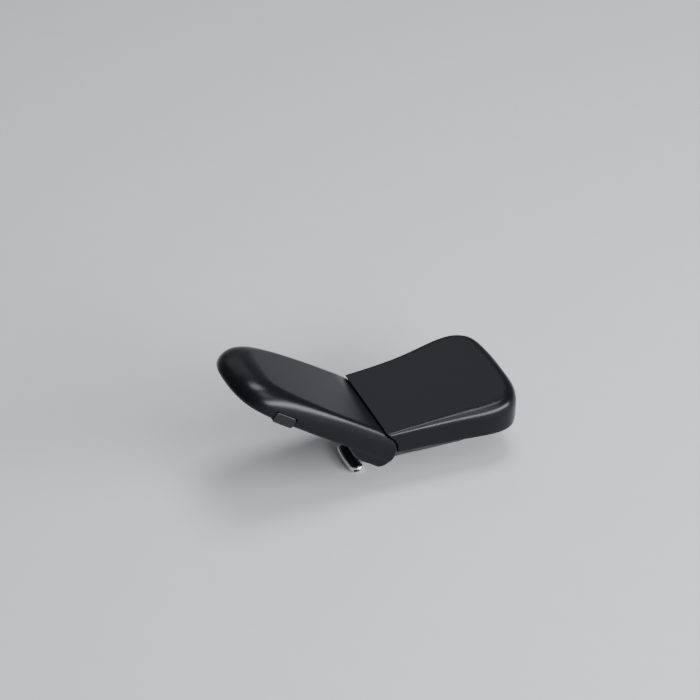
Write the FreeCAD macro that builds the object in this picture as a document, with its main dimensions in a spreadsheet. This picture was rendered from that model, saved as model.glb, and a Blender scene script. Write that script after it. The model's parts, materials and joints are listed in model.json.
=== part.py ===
"""Two-section chair armrest pad: a level rear section and a front section that tilts up about a
cross hinge, on a slide and swivel mechanism with a release lever underneath.

Row frame: +X is the sitter's side, -Y the nose, +Z up. The origin is the centre of the bolt pattern
on the underside of the base. The front section is drawn level about its own hinge axis and then
tilted into its rest pose. Lengths are millimetres and angles are degrees.
"""
import FreeCAD, Part
import math
import os
import re

import Sketcher
from FreeCAD import Placement, Rotation, Vector

DIMENSIONS = {
    # pad surfaces
    "half_wide": 47.5, "top_level": 48, "gap_place": -36, "rear_length": 126, "front_length": 143.5,
    "rear_rise": 0.045, "rear_fall": 0.038, "rear_thick": 19,
    # hinge
    "hinge_place": -42, "hinge_level": 31.5, "barrel_radius": 15, "barrel_gap": 0.6, "tilt_angle": 34,
    "skin_inner": 12, "skin_edge": 60, "cheek_inner": 43, "plane_height": 17.5, "plane_start": 24,
    "under_height": -5, "pin_radius": 4, "pin_reach": 32, "eye_radius": 7, "eye_inner": 15, "eye_outer": 20,
    "knuckle_inner": 21, "knuckle_outer": 29, "knuckle_radius": 8, "running_gap": 0.05,
    # base
    "base_wide": 30, "base_long": 68, "base_thick": 7, "boss_radius": 11, "boss_top": 20,
    "bolt_wide": 18, "bolt_long": 40, "bolt_radius": 2.5,
    # slide and swivel
    "house_radius": 27, "house_wall": 3, "house_front": 1, "house_rear": 37, "house_low": 8,
    "house_floor": 2.5, "slot_radius": 11.5, "slide_travel": 36,
    "carrier_low": 11.6, "carrier_top": 19, "carrier_radius": 21, "flat_reach": 20, "bush_radius": 13,
    "tray_low": 28.3, "tray_top": 32.5, "tray_front": -20, "bracket_top": 35.5,
    # lever
    "lever_place": -30, "lever_level": 3.5, "lever_pin_radius": 2, "arm_inner": 6, "arm_outer": 9,
    "slot_half": 12.5, "paddle_place": -51, "paddle_half": 19, "paddle_radius": 6,
    "paddle_low": -5, "paddle_top": 0.4, "trim_wall": 2.2,
    "plunger_place": -15.5, "plunger_radius": 2.5,
    # front mechanism, in the hinge frame
    "plate_low": 2.2, "plate_top": 5.2, "plate_start": 14, "cover_wall": 1.6,
    "button_middle": 100, "button_long": 20, "button_low": -6, "button_top": 3, "button_inner": 34,
    "button_face": 46.3, "button_slant": 3, "ratchet_radius": 11,
    "rocker_low": -2.5, "rocker_top": -0.5, "rocker_pivot_x": 14, "rocker_pivot_u": 58,
}

document = FreeCAD.newDocument("ArmrestPad")
sheet = document.addObject("Spreadsheet::Sheet", "Sheet")
for row, (alias, value) in enumerate(DIMENSIONS.items(), start=1):
    sheet.set("A%d" % row, alias)
    sheet.set("B%d" % row, str(value))
    sheet.setAlias("B%d" % row, alias)
document.recompute()

ALIAS_PATTERN = re.compile(r"\b(%s)\b" % "|".join(DIMENSIONS))
NODES = {}


def size(alias):
    return float(sheet.get(alias))


def bound(expression):
    """Write an expression of aliases as one that reads the sheet."""
    return ALIAS_PATTERN.sub(r"Sheet.\1", str(expression))


def bind(item, target, expression):
    item.setExpression(target, bound(expression))


def place_at(item, x, y, z):
    bind(item, "Placement.Base.x", x)
    bind(item, "Placement.Base.y", y)
    bind(item, "Placement.Base.z", z)


# ---- Primitives, booleans and sketches bound to the sheet ----

def box(name, x_span, y_span, z_span):
    item = document.addObject("Part::Box", name)
    for target, (low, high) in zip(("Length", "Width", "Height"), (x_span, y_span, z_span)):
        bind(item, target, "(%s) - (%s)" % (high, low))
    place_at(item, x_span[0], y_span[0], z_span[0])
    return item


def rod(name, axis, centre, radius, span):
    """A cylinder along X, Y or Z; centre holds its two other coordinates in X, Y, Z order."""
    item = document.addObject("Part::Cylinder", name)
    bind(item, "Radius", radius)
    bind(item, "Height", "(%s) - (%s)" % (span[1], span[0]))
    turns = {"X": Rotation(Vector(0, 1, 0), 90), "Y": Rotation(Vector(1, 0, 0), -90), "Z": Rotation()}
    item.Placement = Placement(Vector(), turns[axis])
    places = {"X": (span[0], *centre), "Y": (centre[0], span[0], centre[1]), "Z": (*centre, span[0])}
    place_at(item, *places[axis])
    return item


def shaped(name, shape):
    item = document.addObject("Part::Feature", name)
    item.Shape = shape
    return item


def fuse(name, parts):
    item = document.addObject("Part::MultiFuse", name)
    item.Shapes = parts
    item.Refine = True
    return item


def cut(name, base, tools):
    item = document.addObject("Part::Cut", name)
    item.Base = base
    item.Tool = tools[0] if len(tools) == 1 else fuse(name + "_tools", tools)
    return item


def common(name, first, second):
    item = document.addObject("Part::Common", name)
    item.Base = first
    item.Tool = second
    return item


def tube(name, axis, centre, outer, inner, span):
    return cut(name, rod(name + "_outer", axis, centre, outer, span),
               [rod(name + "_bore", axis, centre, inner, span)])


def rounded(name, base, radius, choose):
    """Fillet the edges of base that the choose function picks."""
    document.recompute()
    item = document.addObject("Part::Fillet", name)
    item.Base = base
    picked = [index for index, edge in enumerate(base.Shape.Edges, start=1) if choose(edge)]
    item.Edges = [(index, radius, radius) for index in picked]
    return item


def is_vertical(edge):
    start = edge.Vertexes[0].Point
    end = edge.Vertexes[-1].Point
    return abs(start.x - end.x) < 0.01 and abs(start.y - end.y) < 0.01 and abs(start.z - end.z) > 1


def keep(name, item, tilted=False):
    """Register a finished sub-part, and tilt it about the hinge if it is drawn in the hinge frame."""
    if tilted:
        item.Placement = Placement(Vector(0, size("hinge_place"), size("hinge_level")),
                                   Rotation(Vector(1, 0, 0), -size("tilt_angle")))
    item.Label = name
    NODES[name] = item
    return item


def origin_plane(body, role):
    return [item for item in body.Origin.OriginFeatures if item.Role == role][0]


def sketch(body, name, level):
    item = body.newObject("Sketcher::SketchObject", name)
    item.AttachmentSupport = (origin_plane(body, "XY_Plane"), "")
    item.MapMode = "FlatFace"
    bind(item, "AttachmentOffset.Base.z", level)
    return item


def hold(item, kind, places, value):
    """Add a dimension to a sketch and bind it to the sheet."""
    index = item.addConstraint(Sketcher.Constraint(kind, *places, 1.0))
    bind(item, "Constraints[%d]" % index, value)


def circle_in(item, radius, x, y):
    """Draw a circle in a sketch; a zero coordinate ties its centre to that axis."""
    circle = item.addGeometry(Part.Circle(Vector(1, 1, 0), Vector(0, 0, 1), 1), False)
    hold(item, "Radius", (circle,), radius)
    for kind, axis, value in (("DistanceX", -2, x), ("DistanceY", -1, y)):
        if value == 0:
            item.addConstraint(Sketcher.Constraint("PointOnObject", circle, 3, axis))
        else:
            hold(item, kind, (-1, 1, circle, 3), value)


def rectangle_in(item, wide, long):
    """Draw a rectangle in a sketch, centred on the origin."""
    corners = [Vector(x, y, 0) for x, y in ((-1, -1), (1, -1), (1, 1), (-1, 1))]
    lines = [item.addGeometry(Part.LineSegment(corners[k], corners[(k + 1) % 4]), False) for k in range(4)]
    for k, kind in enumerate(("Horizontal", "Vertical", "Horizontal", "Vertical")):
        item.addConstraint(Sketcher.Constraint("Coincident", lines[k], 2, lines[(k + 1) % 4], 1))
        item.addConstraint(Sketcher.Constraint(kind, lines[k]))
    item.addConstraint(Sketcher.Constraint("Symmetric", lines[0], 1, lines[1], 2, -1, 1))
    hold(item, "DistanceX", (lines[0], 1, lines[0], 2), wide)
    hold(item, "DistanceY", (lines[1], 1, lines[1], 2), long)


def grow(body, kind, name, profile, length, reverse=False):
    """Pad or pocket a sketch by a length from the sheet."""
    item = body.newObject("PartDesign::" + kind, name)
    item.Profile = profile
    bind(item, "Length", length)
    item.Reversed = reverse
    return item


def obround(name, radius, front, rear, span):
    """A tall slot shape along Y between two end centres."""
    return fuse(name, [rod(name + "_front", "Z", ("0", front), radius, span),
                       rod(name + "_rear", "Z", ("0", rear), radius, span),
                       box(name + "_middle", ("-(%s)" % radius, radius), (front, rear), span)])


# ---- Base: block with boss, lever fork and plunger recess ----

def base_block():
    body = document.addObject("PartDesign::Body", "base_block_body")
    plan = sketch(body, "base_plan", "0")
    rectangle_in(plan, "base_wide", "base_long")
    grow(body, "Pad", "base_slab", plan, "base_thick")
    boss = sketch(body, "boss_plan", "base_thick")
    circle_in(boss, "boss_radius", 0, 0)
    grow(body, "Pad", "base_boss", boss, "boss_top - base_thick")
    bolts = sketch(body, "bolt_plan", "0")
    for x_sign in ("", "-"):
        for y_sign in ("", "-"):
            circle_in(bolts, "bolt_radius", x_sign + "bolt_wide / 2", y_sign + "bolt_long / 2")
    grow(body, "Pocket", "bolt_holes", bolts, "base_thick", reverse=True)
    screw = sketch(body, "screw_plan", "boss_top")
    circle_in(screw, "pin_radius", 0, 0)
    grow(body, "Pocket", "screw_hole", screw, "boss_top - base_thick + 1")
    slots = [
        box("fork_slot", ("-slot_half", "slot_half"), ("-base_long / 2 - 1", "-base_long / 2 + 9"),
            ("-1", "base_thick + 1")),
        box("tail_recess", ("-4", "4"), ("-base_long / 2 + 8", "-boss_radius - 1"), ("1", "base_thick + 1")),
        rod("plunger_hole", "Z", ("0", "plunger_place"), "plunger_radius + running_gap", ("-1", "2")),
        rod("fork_hole", "X", ("lever_place", "lever_level"), "lever_pin_radius", ("-base_wide", "base_wide")),
    ]
    block = cut("base_block_cut", body, slots)
    keep("base_block", rounded("base_block_round", block, 1.5,
                               lambda edge: is_vertical(edge) and is_corner(edge)))


def is_corner(edge):
    point = edge.Vertexes[0].Point
    return (abs(abs(point.x) - size("base_wide") / 2) < 0.01
            and abs(abs(point.y) - size("base_long") / 2) < 0.01)


def base_hardware():
    keep("lever_pin", rod("lever_pin_rod", "X", ("lever_place", "lever_level"), "lever_pin_radius",
                          ("-base_wide / 2 + 0.5", "base_wide / 2 - 0.5")))
    keep("pivot_screw", fuse("pivot_screw_fused", [
        rod("pivot_shank", "Z", ("0", "0"), "pin_radius", ("base_thick - 1", "boss_top + 2.5")),
        cut("pivot_head_cut", rod("pivot_head", "Z", ("0", "0"), "7", ("boss_top + 2", "boss_top + 6")),
            [hexagon("pivot_socket", 2.5, "boss_top + 3.5", "boss_top + 7")])]))
    keep("pivot_washer", tube("pivot_washer_tube", "Z", ("0", "0"), "16", "pin_radius",
                              ("boss_top", "boss_top + 2")))
    keep("wave_washer", tube("wave_washer_tube", "Z", ("0", "0"), "15", "slot_radius",
                             ("carrier_top + 0.1", "boss_top")))


def hexagon(name, radius, low, high):
    """A hexagonal prism for a socket, on the pivot axis."""
    item = document.addObject("Part::Prism", name)
    item.Polygon = 6
    item.Circumradius = radius
    bind(item, "Height", "(%s) - (%s)" % (high, low))
    bind(item, "Placement.Base.z", low)
    return item


def coil(name, radius, pitch, turns, wire, placement):
    """A round-wire coil along its own Z."""
    helix = Part.makeHelix(pitch, pitch * turns, radius)
    section = Part.Wire(Part.makeCircle(wire, Vector(radius, 0, 0), Vector(0, 1, 0)))
    spring = Part.Wire(helix.Edges).makePipeShell([section], True, True)
    item = shaped(name, spring)
    item.Placement = placement
    return item


# ---- Carrier that swivels on the boss ----

def carrier():
    span = ("carrier_low", "carrier_top")
    disc = common("carrier_flats", rod("carrier_disc", "Z", ("0", "0"), "carrier_radius", span),
                  box("carrier_box", ("-flat_reach", "flat_reach"), ("-carrier_radius", "carrier_radius"),
                      span))
    keep("carrier", cut("carrier_cut", disc, [
        rod("carrier_bore", "Z", ("0", "0"), "bush_radius", ("carrier_low - 1", "carrier_top + 1")),
        rod("detent_hole", "Z", ("-16.5", "0"), "2", ("carrier_low - 1", "carrier_low + 4"))]))
    keep("swivel_bush", tube("swivel_bush_tube", "Z", ("0", "0"), "bush_radius", "boss_radius + running_gap",
                             span))
    ball = document.addObject("Part::Sphere", "detent_tip")
    ball.Radius = 2
    place_at(ball, "-16.5", "0", "carrier_low + 1.8")
    keep("detent_ball", ball)


# ---- Slide housing under the rear section ----

def slide_housing():
    outer = obround("house_outer", "house_radius", "house_front", "house_rear", ("house_low", "tray_low"))
    ears = [rod("house_ear", "Z", (x, y), "5", ("tray_low - 4", "tray_low")) for x, y in EAR_PLACES]
    shell = fuse("house_fused", [outer] + ears)
    hollow = obround("house_hollow", "house_radius - house_wall", "house_front", "house_rear",
                     ("house_low + house_floor", "tray_low + 1"))
    slot = obround("house_slot", "slot_radius", "0", "slide_travel",
                   ("house_low - 1", "house_low + house_floor + 1"))
    holes = [rod("ear_hole", "Z", (x, y), "2.1", ("tray_low - 5", "tray_low + 1")) for x, y in EAR_PLACES]
    body = cut("house_cut", shell, [hollow, slot] + holes)
    low = size("house_low")
    keep("slide_housing", rounded("house_round", body, 2.2, lambda edge: (
        edge.BoundBox.ZMax < low + 0.01 and edge.BoundBox.XMax > size("house_radius") - 1
        or edge.BoundBox.ZMax < low + 0.01 and edge.BoundBox.XMin < -size("house_radius") + 1
        or edge.BoundBox.ZMax < low + 0.01 and (edge.BoundBox.YMin < -20 or edge.BoundBox.YMax > 50))))


EAR_PLACES = (("31", "-1"), ("31", "39"), ("-31", "-1"), ("-31", "39"))


def slide_parts():
    for side, sign in (("inner", 1), ("outer", -1)):
        web_span = ("20.1", "house_radius - house_wall") if sign > 0 else ("house_wall - house_radius", "-20.1")
        lip_span = ("16.6", "20.2") if sign > 0 else ("-20.2", "-16.6")
        along = ("house_front - 8", "house_rear + 8")
        web = box("glide_web", web_span, along, ("house_low + house_floor", "22.5"))
        lip = box("glide_lip", lip_span, along, ("carrier_top + 0.4", "22.5"))
        room = obround("glide_room", "house_radius - house_wall", "house_front", "house_rear", ("10", "23"))
        keep("glide_strip_" + side, common("glide_fit", fuse("glide_fused", [web, lip]), room))
    rack = box("rack_bar", ("-19", "-14"), ("-6", "slide_travel + 6"), ("house_low + house_floor", "11.1"))
    notches = [rod("rack_notch", "X", ("%d * slide_travel / 4" % step, "12.1"), "1.3", ("-20", "-13"))
               for step in range(5)]
    keep("detent_rack", cut("rack_cut", rack, notches))
    keep("stop_bumper_front", box("bumper_front", ("-6", "6"), ("-22.2", "-carrier_radius - 0.3"),
                                  ("12", "18")))
    keep("stop_bumper_rear", box("bumper_rear", ("-6", "6"), (
        "slide_travel + carrier_radius + 0.3", "slide_travel + carrier_radius + 2.8"), ("12", "18")))
    keep("housing_screws", fuse("housing_screws_fused", [
        piece for x, y in EAR_PLACES for piece in (
            rod("house_screw_head", "Z", (x, y), "3.8", ("tray_low - 6.2", "tray_low - 4")),
            rod("house_screw_shank", "Z", (x, y), "2", ("tray_low - 4.2", "tray_top - 1")))]))


# ---- Outlines of the two soft sections ----

REAR_OUTLINE = ((47.5, -4), (47.5, 25), (48, 50), (49, 75), (48.5, 98), (42.5, 114), (27.5, 123.5),
                (0, 126.5), (-43.5, 125.5), (-60.5, 120.5), (-70.5, 106), (-68.5, 84), (-59.5, 57),
                (-52.5, 28), (-48.5, -4))
REAR_CENTRE = -6
FRONT_OUTLINE = ((47.5, -22), (47.5, 25), (47.5, 50), (47, 75), (46.5, 95), (45.5, 110), (42.5, 122.5),
                 (36, 133), (24, 140.5), (7, 143.5), (-9, 143.5), (-24, 139), (-36, 130), (-44, 116),
                 (-47.5, 95), (-48.5, 60), (-48.5, 30), (-48.5, -22))


def closed_curve(points):
    """A smooth open curve through the points, closed by a straight front edge."""
    curve = Part.BSplineCurve()
    curve.interpolate([Vector(*point) for point in points])
    return Part.Wire([curve.toShape(), Part.LineSegment(Vector(*points[-1]), Vector(*points[0])).toShape()])


def rear_ring(inset, level):
    """Outline of the rear section, drawn in by inset; level gives the height at a distance aft of the gap."""
    points = []
    for x, aft in REAR_OUTLINE:
        narrowed = REAR_CENTRE + (x - REAR_CENTRE) * (1 - inset / 55)
        shortened = aft * (1 - inset / size("rear_length"))
        points.append((narrowed, size("gap_place") + shortened, level(shortened)))
    return closed_curve(points)


def front_ring(inset, nose_inset, height, narrow_nose=0):
    """Outline of the front section in the hinge frame, drawn in at the sides and at the nose."""
    points = []
    length = size("front_length")
    for x, reach in FRONT_OUTLINE:
        part_way = max(reach, 0) / length
        side = inset + narrow_nose * part_way ** 3
        points.append((x * (1 - side / size("half_wide")), -reach * (1 - nose_inset / length * part_way ** 2),
                       height))
    return closed_curve(points)


def rear_top(aft):
    return size("top_level") + size("rear_rise") * aft


def rear_bottom(aft):
    return size("top_level") - size("rear_thick") - size("rear_fall") * aft


def prism(points, x_half):
    """Extrude a closed outline of wire edges, drawn in the YZ plane, to both sides."""
    face = Part.Face(Part.Wire(points))
    face.translate(Vector(-x_half, 0, 0))
    return face.extrude(Vector(2 * x_half, 0, 0))


def line(start, end):
    """A straight edge in the YZ plane."""
    return Part.LineSegment(Vector(0, *start), Vector(0, *end)).toShape()


def arc(start, middle, end):
    """A round edge through three points of the YZ plane."""
    return Part.Arc(Vector(0, *start), Vector(0, *middle), Vector(0, *end)).toShape()


def around(radius, degrees):
    """A point of the YZ plane on a circle about the hinge axis, from +Y towards +Z."""
    return (radius * math.cos(math.radians(degrees)), radius * math.sin(math.radians(degrees)))


def s_curve(start, end):
    """Two equal arcs between level ends, returned as edges."""
    run = (end[0] - start[0]) / 2
    climb = (end[1] - start[1]) / 2
    radius = (run ** 2 + climb ** 2) / (2 * abs(climb))
    half_turn = math.asin(abs(run) / radius) / 2
    step_y = math.copysign(radius * math.sin(half_turn), run)
    step_z = math.copysign(radius * (1 - math.cos(half_turn)), climb)
    middle = (start[0] + run, start[1] + climb)
    return [arc(start, (start[0] + step_y, start[1] + step_z), middle),
            arc(middle, (end[0] - step_y, end[1] - step_z), end)]


# ---- Rear section ----

def rear_front_cut():
    """Room for the front section's barrel, with an undercut lip along the gap."""
    axis_y = size("hinge_place")
    axis_z = size("hinge_level")
    radius = size("barrel_radius") + size("barrel_gap")
    lip_y = size("gap_place") - axis_y
    lip_z = size("top_level") - axis_z
    lip_end = around(radius, 54)
    low_end = around(radius, -50)
    edges = [line((lip_y, 40), (lip_y, lip_z + 0.05)), line((lip_y, lip_z + 0.05), lip_end),
             arc(lip_end, (radius, 0), low_end), line(low_end, (low_end[0], -60)),
             line((low_end[0], -60), (-60, -60)), line((-60, -60), (-60, 40)), line((-60, 40), (lip_y, 40))]
    solid = prism(edges, 100)
    solid.translate(Vector(0, axis_y, axis_z))
    return solid


def rear_pad():
    from_top = ((0, 6.4), (0.9, 3.6), (2.8, 1.4), (5.5, 0.35), (9, 0))
    rings = [rear_ring(inset, lambda aft, drop=drop: rear_top(aft) - drop) for drop, inset in from_top]
    rings += [rear_ring(0.3, lambda aft: rear_bottom(aft) + 2.5), rear_ring(1.5, rear_bottom)]
    outside = Part.makeLoft(rings, True, False)
    room = Part.Face(rear_ring(9, lambda aft: 0)).extrude(Vector(0, 0, size("tray_top")))
    room = room.common(Part.makeBox(200, 200, 80, Vector(-100, size("tray_front"), 0)))
    bracket = Part.makeBox(44, 36, 30, Vector(-22, size("tray_front") - 0.3, 8.6))
    notch = Part.makeBox(43, 20, 30, Vector(-21.5, size("tray_front") - 12, 6.2))
    solid = outside.cut(rear_front_cut()).cut(room).cut(bracket).cut(notch)
    keep("rear_pad", shaped("rear_pad_shape", solid))


BRACKET_SCREWS = (("14", "-13"), ("14", "8"), ("-14", "-13"), ("-14", "8"))


def rear_tray():
    plate = Part.Face(rear_ring(9.3, lambda aft: size("tray_low"))).extrude(
        Vector(0, 0, size("tray_top") - size("tray_low")))
    plate = plate.common(Part.makeBox(200, 200, 80, Vector(-100, size("tray_front") + 0.2, 0)))
    holes = [rod("tray_hole", "Z", (x, y), "2.5", ("tray_low - 1", "tray_top + 1")) for x, y in BRACKET_SCREWS]
    holes += [rod("tray_screw_hole", "Z", (x, y), "2", ("tray_low - 1", "tray_top - 1")) for x, y in EAR_PLACES]
    keep("rear_tray", cut("rear_tray_cut", shaped("rear_tray_plate", plate), holes))


def hinge_bracket():
    parts = [box("bracket_plate", ("-eye_outer", "eye_outer"), ("tray_front + 0.2", "14"),
                 ("tray_top", "bracket_top"))]
    arm_levels = ("tray_low + 0.6", "bracket_top")
    for low, high in (("eye_inner", "eye_outer"), ("-eye_outer", "-eye_inner")):
        parts.append(box("bracket_arm", (low, high), ("hinge_place", "tray_front + 0.2"), arm_levels))
        parts.append(rod("bracket_eye", "X", ("hinge_place", "hinge_level"), "eye_radius", (low, high)))
    hole_span = ("tray_top - 1", "bracket_top + 1")
    holes = [rod("bracket_hole", "Z", place, "2.5", hole_span) for place in BRACKET_SCREWS]
    holes.append(rod("bracket_bore", "X", ("hinge_place", "hinge_level"), "pin_radius", ("-30", "30")))
    keep("hinge_bracket", cut("bracket_cut", fuse("bracket_fused", parts), holes))
    keep("bracket_screws", fuse("bracket_screws_fused", [
        piece for x, y in BRACKET_SCREWS for piece in (
            rod("bracket_screw_head", "Z", (x, y), "4.5", ("bracket_top", "bracket_top + 2.4")),
            rod("bracket_screw_shank", "Z", (x, y), "2.5", ("tray_low + 0.5", "bracket_top + 0.2")))]))


def ratchet_plate():
    """Toothed sector on the hinge pin, with a tail welded to the bracket plate."""
    disc = rod("ratchet_disc", "X", ("hinge_place", "hinge_level"), "ratchet_radius", ("4", "7"))
    tail = box("ratchet_tail", ("4", "7"), ("hinge_place", "tray_front + 0.2"),
               ("tray_low + 0.6", "bracket_top"))
    gaps = [rod("ratchet_bore", "X", ("hinge_place", "hinge_level"), "pin_radius", ("3", "8"))]
    for step in range(8):
        y, z = around(size("ratchet_radius"), 150 + step * 17)
        gaps.append(rod("ratchet_notch", "X", ("hinge_place + %.4f" % y, "hinge_level + %.4f" % z), "1.3",
                        ("3", "8")))
    keep("ratchet_plate", cut("ratchet_cut", fuse("ratchet_fused", [disc, tail]), gaps))


def hinge_hardware():
    keep("hinge_pin", rod("hinge_pin_rod", "X", ("hinge_place", "hinge_level"), "pin_radius",
                          ("-pin_reach", "pin_reach")))
    clips = [tube("pin_clip", "X", ("hinge_place", "hinge_level"), "6.5", "pin_radius", span)
             for span in (("pin_reach - 2", "pin_reach - 1"), ("1 - pin_reach", "2 - pin_reach"))]
    keep("pin_clips", fuse("pin_clips_fused", clips))


# ---- Front section, drawn level about the hinge axis with forward as -Y ----

LUG_START = -13
LUG_END = -32
LUG_TURN = -60


def front_profile():
    """Side profile of the front section: level top, dip to the gap, round barrel and stepped lower edge."""
    radius = size("barrel_radius")
    height = size("plane_height")
    under = size("under_height")
    dip = around(radius, 78.1)
    bend = (-size("plane_start"), height)
    slope = math.tan(math.radians(90 - 78.1))
    middle_y = (bend[0] + dip[0]) / 2
    middle = (middle_y, dip[1] + 0.75 * slope * (dip[0] - middle_y))
    heel = around(radius, LUG_TURN)
    edges = [line((-170, height), bend), arc(bend, middle, dip), arc(dip, (radius, 0), heel),
             line(heel, (LUG_START, heel[1]))]
    edges += s_curve((LUG_START, heel[1]), (LUG_END, under))
    edges += [line((LUG_END, under), (-170, under)), line((-170, under), (-170, height))]
    return prism(edges, 100)


def front_room():
    """Room under the front skin for the tray, the hinge and the release mechanism."""
    plan = Part.Face(front_ring(4.5, 18, -20, 9)).extrude(Vector(0, 0, 25.6))
    inner = size("cheek_inner")
    plan = plan.common(Part.makeBox(2 * inner, 200, 60, Vector(-inner, -180, -30)))
    bore = Part.makeCylinder(size("skin_inner"), 2 * inner, Vector(-inner, 0, 0), Vector(1, 0, 0))
    edge_y, edge_z = around(30, size("skin_edge"))
    wedge = prism([line((0, 0), (edge_y, edge_z)), line((edge_y, edge_z), (30, -30)), line((30, -30), (0, -30)),
                   line((0, -30), (0, 0))], inner)
    return plan.common(Part.makeBox(200, 200, 60, Vector(-100, -200, -30))).fuse([bore, wedge])


def button_outline(grow_by, reach):
    """Plan of the button: its face follows the side wall and stands a little proud of it."""
    middle = size("button_middle")
    half = size("button_long") / 2 + grow_by
    face_x = size("button_face")
    slant = math.tan(math.radians(size("button_slant")))
    corners = [(reach, -middle - half), (face_x - slant * half, -middle - half),
               (face_x + slant * half, -middle + half), (reach, -middle + half)]
    return corners


def button_prism(grow_by, reach, extra):
    corners = [Vector(x + (extra if index in (1, 2) else 0), y, size("button_low") - grow_by)
               for index, (x, y) in enumerate(button_outline(grow_by, reach))]
    face = Part.Face(Part.makePolygon(corners + [corners[0]]))
    return face.extrude(Vector(0, 0, size("button_top") - size("button_low") + 2 * grow_by))


def front_pad():
    rings = [front_ring(1.5, 8, -15.2, 4), front_ring(1.5, 8, -5, 4), front_ring(0.4, 3, -2, 2),
             front_ring(0, 0.5, 2), front_ring(0, 1.5, 7), front_ring(0.6, 6, 11.5, 1),
             front_ring(2.2, 12, 15, 3), front_ring(4.9, 22, 17.5, 9)]
    outside = Part.makeLoft(rings, True, False)
    window = button_prism(0.35, size("button_inner") - 12, 15)
    solid = outside.common(front_profile()).cut(front_room()).cut(window)
    keep("front_pad", shaped("front_pad_shape", solid), tilted=True)


COVER_SCREWS = (("32", "-48"), ("28.5", "-80"), ("-34", "-48"), ("-34", "-80"))


def front_tray():
    low = size("plate_low")
    plate = Part.Face(front_ring(5.2, 19, low, 9)).extrude(Vector(0, 0, size("plate_top") - low))
    plate = plate.common(Part.makeBox(85, 150, 30, Vector(-42.5, -150 - size("plate_start"), 0)))
    parts = [shaped("front_plate", plate)]
    for span in (("knuckle_inner", "knuckle_outer"), ("-knuckle_outer", "-knuckle_inner")):
        parts.append(rod("knuckle", "X", ("0", "0"), "knuckle_radius", span))
        parts.append(box("knuckle_arm", span, ("-plate_start - 6", "0"), ("-2", "plate_top")))
    boss_span = ("under_height + cover_wall", "plate_low + 1")
    parts += [rod("cover_boss", "Z", place, "3.5", boss_span) for place in COVER_SCREWS]
    parts.append(rod("rocker_post", "Z", ("rocker_pivot_x", "-rocker_pivot_u"), "3",
                     ("rocker_low - 0.3", "plate_low + 1")))
    parts.append(box("spring_rib", ("21", "23"), ("-110", "-104"), ("-3.3", "plate_low + 1")))
    holes = [rod("cover_screw_hole", "Z", place, "1.5", ("-8", "plate_top - 1")) for place in COVER_SCREWS]
    holes.append(rod("rocker_screw_hole", "Z", ("rocker_pivot_x", "-rocker_pivot_u"), "1.2",
                     ("-5", "plate_low")))
    holes.append(rod("knuckle_bore", "X", ("0", "0"), "5.5", ("-40", "40")))
    keep("front_tray", cut("front_tray_cut", fuse("front_tray_fused", parts), holes), tilted=True)
    for side, sign in (("inner", ""), ("outer", "-")):
        spans = [("knuckle_inner", "knuckle_outer"), ("eye_outer + 0.2", "knuckle_inner")]
        if sign:
            spans = [("-(%s)" % high, "-(%s)" % low) for low, high in spans]
        sleeve = tube("bush_sleeve", "X", ("0", "0"), "5.5", "pin_radius + running_gap", spans[0])
        flange = tube("bush_flange", "X", ("0", "0"), "7", "pin_radius + running_gap", spans[1])
        keep("hinge_bush_" + side, fuse("hinge_bush_fused", [sleeve, flange]), tilted=True)


def front_cover():
    """Underside cover: a flat panel that steps down and wraps under the hinge barrel."""
    wall = size("cover_wall")
    radius = size("barrel_radius")
    under = size("under_height")
    outer_end = around(radius, -50)
    inner_end = around(radius - wall, -50)
    heel = around(radius, LUG_TURN)
    inner_level = heel[1] + wall
    inner_turn = math.degrees(math.asin(inner_level / (radius - wall)))
    inner_heel = around(radius - wall, inner_turn)
    edges = [arc(outer_end, around(radius, -55), heel), line(heel, (LUG_START, heel[1]))]
    edges += s_curve((LUG_START, heel[1]), (LUG_END, under))
    edges += [line((LUG_END, under), (-150, under)), line((-150, under), (-150, under + wall)),
              line((-150, under + wall), (LUG_END, under + wall))]
    edges += s_curve((LUG_END, under + wall), (LUG_START, inner_level))
    edges += [line((LUG_START, inner_level), inner_heel),
              arc(inner_heel, around(radius - wall, -54), inner_end), line(inner_end, outer_end)]
    plan = Part.Face(front_ring(5, 18.5, -20, 9)).extrude(Vector(0, 0, 30))
    panel = prism(edges, size("cheek_inner") - 0.4).common(plan)
    panel = panel.cut(button_prism(0.35, size("button_inner") - 3, 15))
    holes = [rod("cover_hole", "Z", place, "1.6", ("-8", "-3.3")) for place in COVER_SCREWS]
    keep("front_cover", cut("front_cover_cut", shaped("front_cover_panel", panel), holes), tilted=True)
    keep("cover_screws", fuse("cover_screws_fused", [
        piece for place in COVER_SCREWS for piece in (
            rod("cover_screw_head", "Z", place, "2.8", ("under_height - 0.9", "under_height")),
            rod("cover_screw_shank", "Z", place, "1.5",
                ("under_height - 0.2", "plate_top - 1.5")))]), tilted=True)


def tilt_button():
    face = shaped("button_face", button_prism(0, size("button_inner"), 0))
    stem = box("button_stem", ("22.6", "button_inner + 1"), ("-button_middle + 1", "-button_middle + 7"),
               ("-3.2", "0.5"))
    ledge = box("button_ledge", ("button_inner - 1", "button_face - 1.7"),
                ("-button_middle - 12", "-button_middle + 12"),
                ("plate_low - 0.4", "button_top + 1"))
    body = cut("button_cut", fuse("button_fused", [face, stem]), [ledge])
    reach = size("button_face") - 1.3
    keep("tilt_button", rounded("button_round", body, 0.8, lambda edge: edge.BoundBox.XMin > reach),
         tilted=True)


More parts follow.
